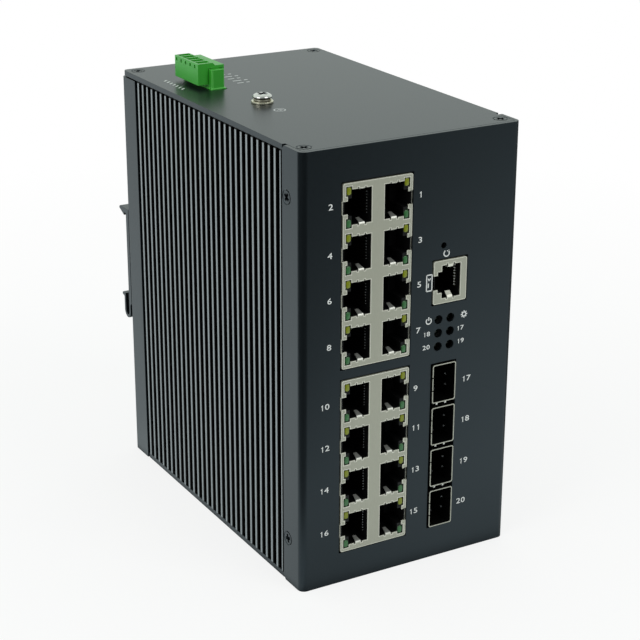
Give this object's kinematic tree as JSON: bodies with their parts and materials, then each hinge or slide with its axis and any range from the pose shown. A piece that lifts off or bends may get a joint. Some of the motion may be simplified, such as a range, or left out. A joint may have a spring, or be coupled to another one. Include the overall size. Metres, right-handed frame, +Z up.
{
  "type": "industrial ethernet switch",
  "caption": "Rail-mount industrial network switch in a finned metal housing, with stacked jacks, a console jack, fibre module cages and a plug-in power terminal on top.",
  "frame": {"origin": "middle of the bounding box, on the surface that the housing stands on", "axes": "+X to the right and -Y out of the front seen from the front, +Z up"},
  "size_m": [0.0864, 0.15, 0.1684],
  "materials": {
    "dark_coat": "satin",
    "dark_anodised": "satin",
    "black_steel": "satin",
    "zinc_steel": "satin",
    "nickel_steel": "bright",
    "brass_washer": "bright",
    "pillar_brass": "bright",
    "shield_tin": "satin",
    "jack_plastic": "matte",
    "contact_gold": "bright",
    "yellow_lens": "translucent",
    "green_lens": "translucent",
    "indicator_lens": "translucent",
    "button_plastic": "matte",
    "terminal_plastic": "satin",
    "pin_tin": "bright",
    "board_laminate": "satin",
    "chip_plastic": "matte",
    "crystal_can": "satin",
    "pad_silicone": "matte"
  },
  "bodies": {
    "housing": {"bottom_plate": "dark_coat", "bottom_plate_screws": "black_steel", "capacitors": "crystal_can", "console_jack_contacts": "contact_gold", "console_jack_housing": "jack_plastic", "console_jack_shield": "shield_tin", "crystal": "crystal_can", "front_panel": "dark_coat", "front_panel_screws": "black_steel", "ground_flat_washer": "brass_washer", "ground_nut": "zinc_steel", "ground_screw": "nickel_steel", "ground_spring_washer": "nickel_steel", "indicator_holder": "jack_plastic", "indicator_lights": "indicator_lens", "left_heat_sink": "dark_anodised", "line_chips": "chip_plastic", "link_card": "board_laminate", "link_sockets": "jack_plastic", "lower_jack_contacts": "contact_gold", "lower_jack_green_lights": "green_lens", "lower_jack_housing": "jack_plastic", "lower_jack_shield": "shield_tin", "lower_jack_yellow_lights": "yellow_lens", "main_board": "board_laminate", "main_board_pillars": "pillar_brass", "main_board_screws": "zinc_steel", "memory_chip": "chip_plastic", "power_inductors": "chip_plastic", "rail_bracket": "dark_coat", "rail_bracket_nuts": "zinc_steel", "rail_bracket_screws": "black_steel", "rear_panel": "dark_coat", "rear_panel_screws": "black_steel", "reset_switch_body": "jack_plastic", "right_heat_sink": "dark_anodised", "sfp_cage_1": "shield_tin", "sfp_cage_2": "shield_tin", "sfp_cage_3": "shield_tin", "sfp_cage_4": "shield_tin", "sfp_connectors": "jack_plastic", "switch_chip": "chip_plastic", "terminal_header": "terminal_plastic", "terminal_header_pins": "pin_tin", "thermal_pads": "pad_silicone", "top_plate": "dark_coat", "top_plate_screws": "black_steel", "uplink_board": "board_laminate", "uplink_board_pillars": "pillar_brass", "uplink_board_screws": "zinc_steel", "upper_jack_contacts": "contact_gold", "upper_jack_green_lights": "green_lens", "upper_jack_housing": "jack_plastic", "upper_jack_shield": "shield_tin", "upper_jack_yellow_lights": "yellow_lens"},
    "plug": {"terminal_plug": "terminal_plastic", "terminal_plug_clips": "pin_tin"},
    "reset_button": {"reset_plunger": "button_plastic"}
  },
  "joints": [
    {"name": "reset_press", "type": "slide", "parent": "housing", "child": "reset_button", "axis": [0, 1, 0], "range_m": [0, 0.0003], "stiffness_N_per_m": 600, "springref_m": -0.0005},
    {"name": "plug_pull", "type": "slide", "parent": "housing", "child": "plug", "axis": [0, 0, 1], "range_m": [0, 0.0065]}
  ]
}
